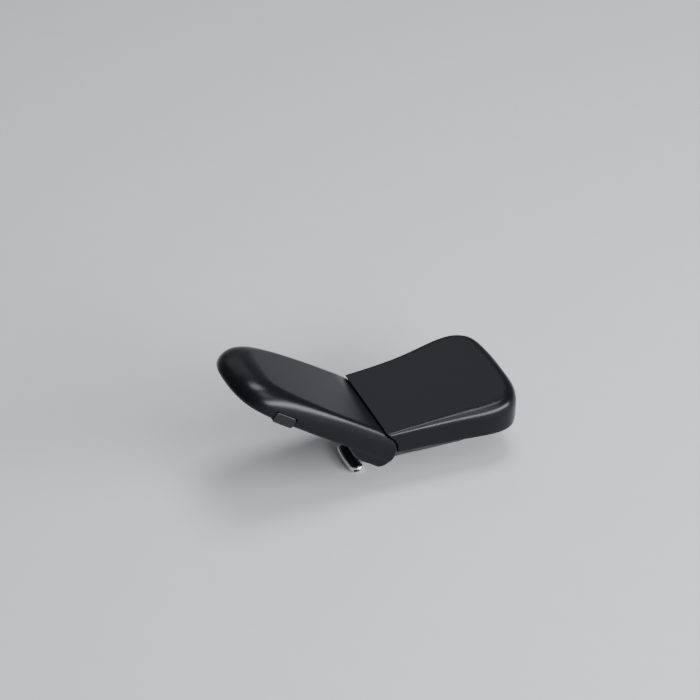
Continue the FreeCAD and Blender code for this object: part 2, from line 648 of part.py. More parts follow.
def release_rocker():
    """Flat rocker on a post under the tray: the button moves its nose and its tail leaves the ratchet."""
    span = ("rocker_low", "rocker_top")
    pivot_x = size("rocker_pivot_x")
    pivot_y = -size("rocker_pivot_u")
    parts = [rod("rocker_hub", "Z", ("rocker_pivot_x", "-rocker_pivot_u"), "6", span)]
    for name, end_x, end_y in (("rocker_nose", 18.3, -97), ("rocker_tail", 10.4, -12)):
        run = math.hypot(end_x - pivot_x, end_y - pivot_y)
        bar = Part.makeBox(6, run, size("rocker_top") - size("rocker_low"), Vector(-3, 0, size("rocker_low")))
        turn = math.degrees(math.atan2(-(end_x - pivot_x), end_y - pivot_y))
        bar.Placement = Placement(Vector(pivot_x, pivot_y, 0), Rotation(Vector(0, 0, 1), turn))
        parts.append(shaped(name, bar))
        parts.append(rod(name + "_end", "Z", (str(end_x), str(end_y)), "3", span))
    bore = rod("rocker_bore", "Z", ("rocker_pivot_x", "-rocker_pivot_u"), "3 + running_gap", ("-4", "1"))
    keep("release_rocker", cut("rocker_cut", fuse("rocker_fused", parts), [bore]), tilted=True)
    keep("rocker_screw", fuse("rocker_screw_fused", [
        rod("rocker_screw_head", "Z", ("rocker_pivot_x", "-rocker_pivot_u"), "4.5",
            ("rocker_low - 0.8", "rocker_low - 0.3")),
        rod("rocker_screw_shank", "Z", ("rocker_pivot_x", "-rocker_pivot_u"), "1.2",
            ("rocker_low - 0.5", "plate_low"))]),
         tilted=True)


def button_spring():
    turn = Rotation(Vector(0, 1, 0), 90)
    local = Placement(Vector(23.6, -107, -0.8), turn)
    tilt = Placement(Vector(0, size("hinge_place"), size("hinge_level")),
                     Rotation(Vector(1, 0, 0), -size("tilt_angle")))
    keep("button_spring", coil("button_spring_coil", 2.2, 1.5, 5, 0.3, tilt.multiply(local)))


# ---- Lever ----

def paddle(name, inset, low, high):
    """Obround plate along X for the finger paddle."""
    half = "paddle_half - paddle_radius"
    radius = "paddle_radius - %s" % inset
    return fuse(name, [rod(name + "_left", "Z", ("-(%s)" % half, "0"), radius, (low, high)),
                       rod(name + "_right", "Z", (half, "0"), radius, (low, high)),
                       box(name + "_middle", ("-(%s)" % half, half), ("-(%s)" % radius, radius), (low, high))])


def lever():
    place = Placement(Vector(0, size("paddle_place"), 0), Rotation())
    trim = cut("trim_cut", paddle("trim_outer", "0", "paddle_low", "paddle_top"),
               [paddle("trim_inner", "trim_wall", "paddle_low - 1", "paddle_top + 1")])
    trim.Placement = place
    channels = [box("arm_channel", span, ("-48.5", "-40"), ("-4", "paddle_top + 1"))
                for span in (("arm_inner - 0.2", "arm_outer + 0.2"), ("-arm_outer - 0.2", "0.2 - arm_inner"))]
    keep("lever_trim", cut("lever_trim_cut", trim, channels))
    core = paddle("core", "trim_wall", "paddle_low + 0.5", "paddle_top - 0.8")
    core.Placement = place
    parts = [core]
    for low, high in (("arm_inner", "arm_outer"), ("-arm_outer", "-arm_inner")):
        parts.append(rod("lever_eye", "X", ("lever_place", "lever_level"), "3.2", (low, high)))
        edges = [line((-48, -3.4), (-32.2, 1.1)), line((-32.2, 1.1), (-29, 6.5)), line((-29, 6.5), (-33, 6.3)),
                 line((-33, 6.3), (-48, -0.6)), line((-48, -0.6), (-48, -3.4))]
        side = Part.Face(Part.Wire(edges))
        start = size("arm_inner") if not low.startswith("-") else -size("arm_outer")
        side.translate(Vector(start, 0, 0))
        parts.append(shaped("lever_side", side.extrude(Vector(size("arm_outer") - size("arm_inner"), 0, 0))))
    parts.append(box("lever_bridge", ("-arm_outer", "arm_outer"), ("lever_place + 2.4", "lever_place + 4.4"),
                     ("lever_level - 0.5", "lever_level + 3")))
    parts.append(box("lever_tail", ("-3", "3"), ("lever_place + 2.4", "-boss_radius - 2"),
                     ("lever_level + 1.1", "lever_level + 3")))
    bore = rod("lever_bore", "X", ("lever_place", "lever_level"), "lever_pin_radius + running_gap",
               ("-20", "20"))
    keep("lever_arm", cut("lever_cut", fuse("lever_fused", parts), [bore]))
    across = Rotation(Vector(0, 1, 0), 90)
    spring_place = Placement(Vector(9.9, size("lever_place"), size("lever_level")), across)
    keep("lever_spring", coil("lever_spring_coil", 2.7, 0.8, 2.5, 0.3, spring_place))
    stem = rod("plunger_rod", "Z", ("0", "plunger_place"), "plunger_radius", ("-5", "2.3"))
    dome = cone("plunger_dome", "0", "plunger_place", "2.3", "4.4")
    keep("release_plunger", fuse("plunger_fused", [stem, dome]))


def cone(name, x, y, low, high):
    item = document.addObject("Part::Cone", name)
    bind(item, "Radius1", "plunger_radius")
    bind(item, "Radius2", "plunger_radius - 1.3")
    bind(item, "Height", "(%s) - (%s)" % (high, low))
    place_at(item, x, y, low)
    return item


# ---- Build, check and write ----

def build():
    base_block()
    base_hardware()
    carrier()
    slide_housing()
    slide_parts()
    rear_pad()
    rear_tray()
    hinge_bracket()
    ratchet_plate()
    hinge_hardware()
    front_pad()
    front_tray()
    front_cover()
    tilt_button()
    release_rocker()
    button_spring()
    lever()
    document.recompute()
    failed = [item.Name for item in document.Objects if "Invalid" in item.State or "Error" in item.State]
    if failed:
        raise RuntimeError("failed objects: %s" % failed)
    os.makedirs("parts", exist_ok=True)
    for name, item in NODES.items():
        shape = item.Shape
        if shape.isNull() or not shape.isValid():
            raise RuntimeError("%s has no valid shape" % name)
        shape.exportStep("parts/%s.step" % name)
        box_of = shape.BoundBox
        print("%-20s solids %d volume %8.0f  x %.1f..%.1f  y %.1f..%.1f  z %.1f..%.1f" % (
            name, len(shape.Solids), shape.Volume, box_of.XMin, box_of.XMax, box_of.YMin, box_of.YMax,
            box_of.ZMin, box_of.ZMax))


build()
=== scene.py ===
"""Looks of a two-section chair armrest pad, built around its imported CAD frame.

Lengths in the shape functions are millimetres in the row frame (+X sitter's side, -Y nose, +Z up). The
front section is shaped level about the hinge axis and then tilted to its rest pose.
"""
import json
import math

import bmesh
import bpy
import numpy as np
from mathutils import Matrix, Vector


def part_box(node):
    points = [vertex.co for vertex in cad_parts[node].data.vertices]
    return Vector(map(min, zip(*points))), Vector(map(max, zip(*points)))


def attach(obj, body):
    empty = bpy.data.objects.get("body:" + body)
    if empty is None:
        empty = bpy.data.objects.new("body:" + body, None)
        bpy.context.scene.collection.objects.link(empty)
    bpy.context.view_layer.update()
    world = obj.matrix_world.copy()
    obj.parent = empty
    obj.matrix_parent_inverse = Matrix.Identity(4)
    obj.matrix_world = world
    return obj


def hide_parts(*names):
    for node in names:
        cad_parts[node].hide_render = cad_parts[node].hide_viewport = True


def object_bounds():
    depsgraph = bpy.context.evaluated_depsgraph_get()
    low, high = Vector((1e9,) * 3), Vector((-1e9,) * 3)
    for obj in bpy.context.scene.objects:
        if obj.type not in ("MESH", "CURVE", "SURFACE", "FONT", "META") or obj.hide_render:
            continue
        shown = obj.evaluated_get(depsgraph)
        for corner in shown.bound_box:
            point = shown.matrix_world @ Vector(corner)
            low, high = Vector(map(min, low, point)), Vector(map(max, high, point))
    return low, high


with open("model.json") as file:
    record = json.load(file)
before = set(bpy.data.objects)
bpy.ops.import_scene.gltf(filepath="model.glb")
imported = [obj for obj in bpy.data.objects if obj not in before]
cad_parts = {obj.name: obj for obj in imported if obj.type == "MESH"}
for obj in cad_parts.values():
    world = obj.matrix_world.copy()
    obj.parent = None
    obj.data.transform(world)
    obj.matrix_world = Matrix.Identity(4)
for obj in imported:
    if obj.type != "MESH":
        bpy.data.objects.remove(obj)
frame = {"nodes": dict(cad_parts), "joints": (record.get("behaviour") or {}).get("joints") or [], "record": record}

CAD_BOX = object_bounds()
MM = 0.001
NODES = frame["nodes"]
JOINTS = {joint["name"]: joint for joint in frame["joints"]}

# ---- Places and sizes read from the frame ----

HINGE = Vector(JOINTS["front_tilt"]["pos_m"]) / MM
TILT = math.radians(-JOINTS["front_tilt"]["range_deg"][0])
TRAY_LOW, TRAY_HIGH = (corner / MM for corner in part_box("rear_tray"))
TRIM_LOW, TRIM_HIGH = (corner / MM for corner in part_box("lever_trim"))

# ---- Shape of the pads, in millimetres ----

TOP_LEVEL = 48.0
GAP_PLACE = -36.0
BARREL = 15.0
BARREL_GAP = 0.6
BARREL_DIP = 3.1
REAR_RISE = 0.045
REAR_FALL = 0.03
REAR_THICK = 20.4
PLANE_HEIGHT = 17.5
PLANE_START = 24.0
UNDER_HEIGHT = -5.0
FRONT_LENGTH = 143.5
LUG_START = 13.0
LUG_END = 32.0
LUG_LEVEL = -13.0
LUG_EASE = 4.0
LUG_RUN_OUT = 2.0
ARC_SKIP = 3.0
WALL = 47.5
WALL_ROUND = 2.4
WALL_BEYOND = 1.0
CHEEK = 43.0
SKIN_INNER = 12.0
SKIN_EDGE = 60.0
BEYOND = 170.0

# The soft edges are wider and higher towards the tail and the nose: first the size, then what is added.
REAR_EDGE_WIDE, REAR_EDGE_WIDENS = 2.4, 8.2
REAR_EDGE_HIGH, REAR_EDGE_RISES = 4.0, 8.0
REAR_EDGE_REACH, REAR_EDGE_POWER = 95.0, 1.1
REAR_UNDER_INSET = 1.2
FRONT_EDGE_WIDE, FRONT_EDGE_WIDENS = 7.0, 20.0
FRONT_EDGE_HIGH, FRONT_EDGE_RISES = 14.0, 4.0
FRONT_UNDER_WIDE, FRONT_UNDER_WIDENS = 1.5, 4.5
FRONT_SKIRT = -20.0
NOSE_START, NOSE_POWER = 38.0, 1.9
SOFT_POWER = 2.3
TOP_POWER = 2.1

REAR_OUTLINE = ((47.5, -6), (47.5, 25), (48, 50), (49, 75), (49.5, 97), (44.5, 113.5), (30, 124), (0, 128),
                (-43.5, 126.5), (-60.5, 121), (-69.5, 106), (-67, 84), (-58.5, 57), (-52.5, 28), (-48.5, -6))
FRONT_OUTLINE = ((47.5, -24), (47.5, 25), (47.5, 50), (47, 75), (46.5, 95), (45.5, 110), (42.5, 122.5),
                 (36, 133), (24, 140.5), (7, 143.5), (-9, 143.5), (-24, 139), (-36, 130), (-44, 116),
                 (-47.5, 95), (-48.5, 60), (-48.5, 30), (-48.5, -24))
OUTLINE_SAMPLES = 260
EDGE_LEVELS = 14
VOXEL = 0.8
RELAX_PASSES = 7


# ---- Curves and meshes ----

def smooth_line(points, count):
    """Points along the natural cubic spline through the given points, evenly spaced in length."""
    points = np.array(points, float)
    knots = np.concatenate([[0], np.cumsum(np.linalg.norm(np.diff(points, axis=0), axis=1))])
    steps = np.diff(knots)
    size = len(points)
    matrix = np.eye(size)
    sides = np.zeros_like(points)
    for k in range(1, size - 1):
        matrix[k, k - 1:k + 2] = steps[k - 1], 2 * (steps[k - 1] + steps[k]), steps[k]
        sides[k] = 6 * ((points[k + 1] - points[k]) / steps[k] - (points[k] - points[k - 1]) / steps[k - 1])
    bends = np.linalg.solve(matrix, sides)
    along = np.linspace(0, knots[-1], count)
    span = np.clip(np.searchsorted(knots, along, side="right") - 1, 0, size - 2)
    step = steps[span][:, None]
    right = (along - knots[span])[:, None]
    left = step - right
    return (bends[span] * left ** 3 / (6 * step) + bends[span + 1] * right ** 3 / (6 * step)
            + (points[span] / step - bends[span] * step / 6) * left
            + (points[span + 1] / step - bends[span + 1] * step / 6) * right)


def inward(line):
    """Unit normals of an outline that runs anticlockwise seen from above, pointing inwards."""
    along = np.gradient(line, axis=0)
    along /= np.linalg.norm(along, axis=1)[:, None]
    return np.column_stack([-along[:, 1], along[:, 0]])


def edge_curve(count, power=SOFT_POWER):
    """Steps of a soft quarter round: how far in and how far up, both from 0 to 1."""
    turns = np.linspace(0, math.pi / 2, count)
    return [(1 - math.cos(turn) ** (2 / power), math.sin(turn) ** (2 / power)) for turn in turns]


def loft(name, rings):
    """A closed mesh through rings of equal length, with flat ends."""
    rings = [np.asarray(ring, float) for ring in rings]
    count = len(rings[0])
    faces = [list(range(count))[::-1]]
    for level in range(len(rings) - 1):
        start = level * count
        for k in range(count):
            following = (k + 1) % count
            faces.append([start + k, start + following, start + count + following, start + count + k])
    last = (len(rings) - 1) * count
    faces.append([last + k for k in range(count)])
    return mesh_object(name, np.vstack(rings) * MM, faces)


def ring_shell(name, rings):
    """A band closed on itself: the last ring joins the first."""
    count = len(rings[0])
    faces = []
    for level in range(len(rings)):
        start = level * count
        other = (level + 1) % len(rings) * count
        for k in range(count):
            following = (k + 1) % count
            faces.append([start + k, start + following, other + following, other + k])
    return mesh_object(name, np.vstack(rings) * MM, faces)


def mesh_object(name, points, faces):
    mesh = bpy.data.meshes.new(name)
    mesh.from_pydata([tuple(point) for point in points], [], faces)
    mesh.validate()
    piece = bpy.data.objects.new(name, mesh)
    bpy.context.scene.collection.objects.link(piece)
    bm = bmesh.new()
    bm.from_mesh(mesh)
    bmesh.ops.recalc_face_normals(bm, faces=bm.faces)
    bm.to_mesh(mesh)
    bm.free()
    return piece


def side_prism(name, outline, reach_low, reach_high):
    """Extrude an outline of (y, z) points across X."""
    outline = np.asarray(outline, float)
    rings = [np.column_stack([np.full(len(outline), x), outline]) for x in (reach_low, reach_high)]
    return loft(name, rings)


def flat_prism(name, outline, low, high):
    """Extrude an outline of (x, y) points upwards."""
    outline = np.asarray(outline, float)
    return loft(name, [np.column_stack([outline, np.full(len(outline), z)]) for z in (low, high)])


def block(name, low, high):
    return flat_prism(name, [(low[0], low[1]), (high[0], low[1]), (high[0], high[1]), (low[0], high[1])],
                      low[2], high[2])


def arc_points(radius, start, end, count, centre=(0, 0)):
    """Points of an arc in the (y, z) plane; angles are degrees from +Y towards +Z."""
    turns = np.radians(np.linspace(start, end, count))
    return [(centre[0] + radius * math.cos(turn), centre[1] + radius * math.sin(turn)) for turn in turns]


def rounded_rectangle(half_long, half_high, radius, count=8):
    """Outline of a rectangle with round corners, anticlockwise."""
    points = []
    for corner_x, corner_y, start in ((1, 1, 0), (-1, 1, 90), (-1, -1, 180), (1, -1, 270)):
        centre = (corner_x * (half_long - radius), corner_y * (half_high - radius))
        points += arc_points(radius, start, start + 90, count, centre)
    return np.array(points)


def ease(start, end, count):
    """A smooth step between two (y, z) points that leaves and arrives level."""
    points = []
    for share in np.linspace(0, 1, count):
        lift = share * share * (3 - 2 * share)
        points.append((start[0] + (end[0] - start[0]) * share, start[1] + (end[1] - start[1]) * lift))
    return points


def bake_modifiers(piece):
    bpy.context.view_layer.update()
    graph = bpy.context.evaluated_depsgraph_get()
    done = bpy.data.meshes.new_from_object(piece.evaluated_get(graph))
    old = piece.data
    piece.modifiers.clear()
    piece.data = done
    bpy.data.meshes.remove(old)


def carve(piece, tool, operation="DIFFERENCE"):
    modifier = piece.modifiers.new("carve", "BOOLEAN")
    modifier.operation = operation
    modifier.solver = "EXACT"
    modifier.object = tool
    bake_modifiers(piece)
    bpy.data.objects.remove(tool)


def soften(piece, voxel, passes):
    """Remesh evenly and relax, so that every edge becomes a small round."""
    modifier = piece.modifiers.new("even", "REMESH")
    modifier.mode = "VOXEL"
    modifier.voxel_size = voxel * MM
    bake_modifiers(piece)
    modifier = piece.modifiers.new("relax", "SMOOTH")
    modifier.factor = 0.5
    modifier.iterations = passes
    bake_modifiers(piece)


def shade_smooth(piece, angle=35):
    piece.data.shade_smooth()
    bm = bmesh.new()
    bm.from_mesh(piece.data)
    limit = math.radians(angle)
    for edge in bm.edges:
        if len(edge.link_faces) == 2 and edge.calc_face_angle(0) > limit:
            edge.smooth = False
    bm.to_mesh(piece.data)
    bm.free()


def bevelled(piece, width, segments=3, angle=30):
    modifier = piece.modifiers.new("edges", "BEVEL")
    modifier.width = width * MM
    modifier.segments = segments
    modifier.limit_method = "ANGLE"
    modifier.angle_limit = math.radians(angle)
    bake_modifiers(piece)
    shade_smooth(piece, 40)


def tilt_up(piece):
    """Move a piece shaped about the hinge axis to its place at rest."""
    place = Matrix.Translation(HINGE * MM) @ Matrix.Rotation(-TILT, 4, "X")
    piece.data.transform(place)
    piece.data.update()


# ---- Rear pad ----

ACROSS = 100.0
LIP_CLEAR = 60.0
LIP_DROP = 0.3
LIP_ARC = (54, -50)
REAR_WALL_THICK = 8.6
TRAY_CLEAR = 0.2
BRACKET_CLEAR = 0.5
NOTCH_OVERLAP = 1.0
BRACKET_HALF = 22.0
BRACKET_LONG = 36.0
BRACKET_TOP = 38.8
NOTCH_HALF = 21.5
NOTCH_LONG = 14.0
NOTCH_TOP = 36.2
ROOM_BOTTOM = -20.0
BRACKET_BOTTOM = 5.0


def rear_rings():
    """Level rings of the skin, from its underside up the side wall and over the soft edge to the top."""
    line = smooth_line(REAR_OUTLINE, OUTLINE_SAMPLES)
    normal = inward(line)
    aft = line[:, 1]
    top = TOP_LEVEL + REAR_RISE * aft
    bottom = TOP_LEVEL - REAR_THICK - REAR_FALL * aft
    share = np.clip(aft / REAR_EDGE_REACH, 0, 1) ** REAR_EDGE_POWER
    edge_wide = (REAR_EDGE_WIDE + REAR_EDGE_WIDENS * share)[:, None]
    edge_high = REAR_EDGE_HIGH + REAR_EDGE_RISES * share
    waist = top - edge_high
    rings = []
    for share_in, share_up in edge_curve(EDGE_LEVELS)[::-1]:
        flat = line + normal * REAR_UNDER_INSET * share_in
        level = np.maximum(waist + (bottom - waist) * share_up, bottom)
        rings.append(np.column_stack([flat, level]))
    for share_in, share_up in edge_curve(EDGE_LEVELS)[1:]:
        flat = line + normal * edge_wide * share_in
        rings.append(np.column_stack([flat, waist + (top - waist) * share_up]))
    for ring in rings:
        ring[:, 1] += GAP_PLACE
    return rings


def rear_front_tool():
    """The space ahead of the rear pad: a lip along the gap over a hollow for the barrel."""
    radius = BARREL + BARREL_GAP
    lip = (GAP_PLACE - HINGE.y, TOP_LEVEL - HINGE.z)
    outline = [(lip[0], LIP_CLEAR), (lip[0], lip[1] - LIP_DROP)] + arc_points(radius, *LIP_ARC, 40)
    outline += [(outline[-1][0], -LIP_CLEAR), (-LIP_CLEAR, -LIP_CLEAR), (-LIP_CLEAR, LIP_CLEAR)]
    outline = [(y + HINGE.y, z + HINGE.z) for y, z in outline]
    return side_prism("rear_front_tool", outline, -ACROSS, ACROSS)


def make_rear_pad():
    """The soft skin, hollow below for the tray and its bracket."""
    pad = loft("rear_pad_skin", rear_rings())
    carve(pad, rear_front_tool())
    soften(pad, VOXEL, RELAX_PASSES)
    line = smooth_line(REAR_OUTLINE, OUTLINE_SAMPLES)
    plan = line + inward(line) * REAR_WALL_THICK
    plan[:, 1] += GAP_PLACE
    plan = plan[plan[:, 1] > TRAY_LOW.y - TRAY_CLEAR]
    carve(pad, flat_prism("rear_room", plan, ROOM_BOTTOM, TRAY_HIGH.z + TRAY_CLEAR))
    carve(pad, block("bracket_room", (-BRACKET_HALF, TRAY_LOW.y - BRACKET_CLEAR, BRACKET_BOTTOM),
                     (BRACKET_HALF, TRAY_LOW.y + BRACKET_LONG, BRACKET_TOP)))
    carve(pad, block("bracket_notch", (-NOTCH_HALF, TRAY_LOW.y - NOTCH_LONG, BRACKET_BOTTOM),
                     (NOTCH_HALF, TRAY_LOW.y + NOTCH_OVERLAP, NOTCH_TOP)))
    shade_smooth(pad)
    return pad


# ---- Front pad, level about the hinge axis with forward as -Y ----

FRONT_WALL_THICK, FRONT_WALL_WIDENS = 4.5, 13.5
TRAY_ROOM_LOW, TRAY_ROOM_HIGH = -30.0, 5.6
WEDGE_REACH = 40.0
ROOM_BEHIND = 1.0
BUTTON_PLACE = 100.0
BUTTON_HALF = 10.0
BUTTON_LOW = -6.2
BUTTON_HIGH = 3.0
BUTTON_SLANT = math.radians(3)
BUTTON_FACE = 46.4
BUTTON_CORNER = 2.4
BUTTON_SECTION = ((1.9, 0.5), (1.9, 0), (0.7, 0), (0.25, 0.12), (0.0, 0.5), (0.0, 0.9), (0.12, 1.8))
GUIDE_LOW = (34, -BUTTON_PLACE - 9.4, BUTTON_LOW + 0.6)
GUIDE_HIGH = (BUTTON_FACE - 1.5, -BUTTON_PLACE + 9.4, 1.7)
STEM_LOW = (22.6, -99, -3.2)
STEM_HIGH = (34.5, -93, 0.5)
WINDOW_ROOM = 0.5
WINDOW_DEEP = 20.0


def nose_share(reach):
    """0 along the sides, rising to 1 at the nose."""
    return np.clip((reach - NOSE_START) / (FRONT_LENGTH - NOSE_START), 0, 1) ** NOSE_POWER


def front_rings():
    """Level rings of the skin, from a skirt below the underside up and over the soft edge to the top."""
    line = smooth_line(FRONT_OUTLINE, OUTLINE_SAMPLES)
    normal = inward(line)
    share = nose_share(line[:, 1])[:, None]
    edge_wide = FRONT_EDGE_WIDE + FRONT_EDGE_WIDENS * share
    edge_high = (FRONT_EDGE_HIGH + FRONT_EDGE_RISES * share)[:, 0]
    under_wide = FRONT_UNDER_WIDE + FRONT_UNDER_WIDENS * share
    waist = PLANE_HEIGHT - edge_high
    rings = [np.column_stack([line + normal * under_wide, np.full(len(line), FRONT_SKIRT)])]
    for share_in, share_up in edge_curve(EDGE_LEVELS)[::-1]:
        flat = line + normal * under_wide * share_in
        rings.append(np.column_stack([flat, waist + (UNDER_HEIGHT - waist) * share_up]))
    for share_in, share_up in edge_curve(EDGE_LEVELS, TOP_POWER)[1:]:
        flat = line + normal * edge_wide * share_in
        rings.append(np.column_stack([flat, waist + (PLANE_HEIGHT - waist) * share_up]))
    for ring in rings:
        ring[:, 1] *= -1
    return rings


def front_profile():
    """Side profile: level top, dip to the gap, round barrel and stepped lower edge, as (y, z)."""
    dip = math.degrees(math.asin(BARREL_DIP / BARREL))
    end = arc_points(BARREL, 90 - dip, 90 - dip, 1)[0]
    slope = math.tan(math.radians(dip))
    run = PLANE_START + end[0]
    points = [(-BEYOND, PLANE_HEIGHT)]
    for share in np.linspace(1, 0, 14):
        step = run * share
        points.append((end[0] - step, end[1] + slope * step - slope * step * step / (2 * run)))
    heel = -math.degrees(math.asin(-LUG_LEVEL / BARREL))
    points += arc_points(BARREL, 90 - dip - ARC_SKIP, heel, 60)
    points += ease((-LUG_START + LUG_EASE, LUG_LEVEL), (-LUG_END - LUG_RUN_OUT, UNDER_HEIGHT), 20)
    points += [(-BEYOND, UNDER_HEIGHT)]
    return points


def inset_profile(points, depth):
    """Move a side profile inwards; the far ends keep their place ahead of the nose."""
    points = np.array(points, float)
    far = points[:, 0] < -FRONT_LENGTH
    along = np.roll(points, -1, axis=0) - np.roll(points, 1, axis=0)
    along /= np.linalg.norm(along, axis=1)[:, None]
    moved = points + np.column_stack([along[:, 1], -along[:, 0]]) * depth
    moved[far] = points[far]
    return moved


def rounded_prism(name, points):
    """The side profile carried across the pad, drawn in at both side walls so that its edges are round."""
    places = [(WALL + WALL_BEYOND, WALL_ROUND)]
    for turn in np.radians(np.linspace(0, 90, 9)):
        depth = WALL_ROUND * (1 - math.sin(turn))
        places.append((WALL - WALL_ROUND * (1 - math.cos(turn)), depth))
    places += [(-x - WALL_BEYOND, depth) for x, depth in places[::-1]]
    rings = []
    for x, depth in places:
        profile = inset_profile(points, depth)
        rings.append(np.column_stack([np.full(len(profile), x), profile]))
    return loft(name, rings)


def front_room_tools():
    """The hollows inside the front skin: for its tray, for the hinge barrel and for the pad's swing."""
    line = smooth_line(FRONT_OUTLINE, OUTLINE_SAMPLES)
    share = nose_share(line[:, 1])[:, None]
    plan = line + inward(line) * (FRONT_WALL_THICK + FRONT_WALL_WIDENS * share)
    plan[:, 0] = np.clip(plan[:, 0], -CHEEK, CHEEK)
    plan = plan[plan[:, 1] > -ROOM_BEHIND]
    plan[:, 1] *= -1
    edge = arc_points(WEDGE_REACH, SKIN_EDGE, SKIN_EDGE, 1)[0]
    wedge = [(0, 0), edge, (WEDGE_REACH, -WEDGE_REACH), (0, -WEDGE_REACH)]
    return (flat_prism("tray_room", plan, TRAY_ROOM_LOW, TRAY_ROOM_HIGH),
            side_prism("bore_room", arc_points(SKIN_INNER, 0, 354, 60), -CHEEK, CHEEK),
            side_prism("wedge_room", wedge, -CHEEK, CHEEK))


def button_plan(grow, depth, proud):
    """Corners of the button seen from above, its face along the side wall."""
    half = BUTTON_HALF + grow
    lean = math.tan(BUTTON_SLANT) * half
    return [(depth, -BUTTON_PLACE - half), (BUTTON_FACE - lean + proud, -BUTTON_PLACE - half),
            (BUTTON_FACE + lean + proud, -BUTTON_PLACE + half), (depth, -BUTTON_PLACE + half)]


def make_front_pad():
    pad = loft("front_pad_skin", front_rings())
    carve(pad, rounded_prism("front_profile_tool", front_profile()), "INTERSECT")
    soften(pad, VOXEL, RELAX_PASSES)
    for tool in front_room_tools():
        carve(pad, tool)
    window = button_plan(WINDOW_ROOM, WINDOW_DEEP, WINDOW_DEEP)
    carve(pad, flat_prism("button_window", window, BUTTON_LOW - WINDOW_ROOM, BUTTON_HIGH + WINDOW_ROOM))
    shade_smooth(pad)
    tilt_up(pad)
    return pad


def make_button():
    """Thumb tab: a rounded face plate with a chamfered rim, on a guide block with a stem."""
    middle = (BUTTON_LOW + BUTTON_HIGH) / 2
    high = (BUTTON_HIGH - BUTTON_LOW) / 2
    rings = []
    for depth, inset in BUTTON_SECTION:
        ring = rounded_rectangle(BUTTON_HALF - inset, high - inset, BUTTON_CORNER - inset * 0.5)
        face = BUTTON_FACE - depth - math.tan(BUTTON_SLANT) * ring[:, 0]
        rings.append(np.column_stack([face, -BUTTON_PLACE - ring[:, 0], middle + ring[:, 1]]))
    face = loft("tilt_tab", rings)
    shade_smooth(face, 50)
    guide = block("tilt_tab_guide", GUIDE_LOW, GUIDE_HIGH)
    bevelled(guide, 0.5, 2)
    stem = block("tilt_tab_stem", STEM_LOW, STEM_HIGH)
    bevelled(stem, 0.4, 2)
    pieces = (face, guide, stem)
    for piece in pieces:
        tilt_up(piece)
    return pieces


# ---- Paddle lever ----

PADDLE_BOW = 1.6
PADDLE_SHIFT = 0.7
INSET_PLACE = 5.2
INSET_DROP = 0.7
INSET_HALF = 0.9
INSET_CORNER = 0.8
INSET_SECTION = ((1.2, 2.5, 0), (0.3, 2.5, 0), (-0.05, 2.3, 0.2))


def paddle_outline(inset, count=44):
    """Slot shape along X whose long edges bow towards the nose, anticlockwise."""
    half = (TRIM_HIGH.x - TRIM_LOW.x) / 2 - inset
    deep = (TRIM_HIGH.y - TRIM_LOW.y) / 2 - inset
    radius = deep - 0.2
    right = arc_points(radius, -90, 90, count, (half - radius, 0))
    left = arc_points(radius, 90, 270, count, (radius - half, 0))
    middle = np.linspace(-1, 1, 12)[1:-1] * (half - radius)
    lower = [(x, -radius) for x in middle]
    upper = [(x, radius) for x in middle[::-1]]
    points = np.array(lower + right + upper + left)
    points[:, 1] -= PADDLE_BOW * (1 - (points[:, 0] / half) ** 2) - PADDLE_BOW * PADDLE_SHIFT
    return points + ((TRIM_LOW.x + TRIM_HIGH.x) / 2, (TRIM_LOW.y + TRIM_HIGH.y) / 2)


def paddle_rings(profile):
    """Level rings of the paddle, one for each (inset, level) of its section."""
    rings = []
    for inset, level in profile:
        flat = paddle_outline(inset)
        rings.append(np.column_stack([flat, np.full(len(flat), level)]))
    return rings


def make_paddle():
    """Bright rim round a gloss black finger pad, with a small dark inset in its sitter's end."""
    low, high = TRIM_LOW.z, TRIM_HIGH.z
    rim = ring_shell("paddle_rim", paddle_rings([
        (2.0, low + 0.7), (1.2, low), (0.5, low + 0.25), (0.05, low + 1.1), (0.0, low + 2.2),
        (0.1, high - 1.6), (0.45, high - 0.75), (0.95, high - 0.5), (1.25, high - 0.8), (1.3, high - 1.8),
        (2.0, high - 2.0)]))
    pad = loft("paddle_pad", paddle_rings([
        (1.6, low + 0.5), (1.3, low + 0.9), (1.3, high - 1.2), (1.35, high - 0.6), (1.7, high - 0.2),
        (2.4, high), (3.6, high - 0.05), (4.4, high - 0.15)]))
    centre = (TRIM_LOW.y + INSET_PLACE, (low + high) / 2 - INSET_DROP)
    inset_rings = []
    for depth, half, shrink in INSET_SECTION:
        ring = rounded_rectangle(half, INSET_HALF - shrink, INSET_CORNER - shrink) + centre
        inset_rings.append(np.column_stack([np.full(len(ring), TRIM_HIGH.x - depth), ring]))
    inset = loft("paddle_end_inset", inset_rings)
    pieces = (rim, pad, inset)
    for piece in pieces:
        shade_smooth(piece, 50)
    return pieces


ARM_PLACES = (-7.5, 7.5)
ARM_HALF = 1.5
ARM_EYE = 3.2
PIN_BORE = 2.05
PIVOT_PLACE = -30.0
PIVOT_LEVEL = 3.5
ARM_UNDER = ((-48.2, -3.6), (-44, -2.9), (-38, -1.2), (-33.5, 0.4))
ARM_OVER = ((-32, 6.4), (-36, 5.3), (-41, 3.2), (-45, 0.9), (-48.2, -0.7))
BRIDGE_LOW = (-8.6, PIVOT_PLACE + 2.3, PIVOT_LEVEL - 0.4)
BRIDGE_HIGH = (8.6, PIVOT_PLACE + 4.4, PIVOT_LEVEL + 3)
TAIL_SIDE = ((3, PIVOT_PLACE + 2.6), (3, -14.2), (1.6, -13))


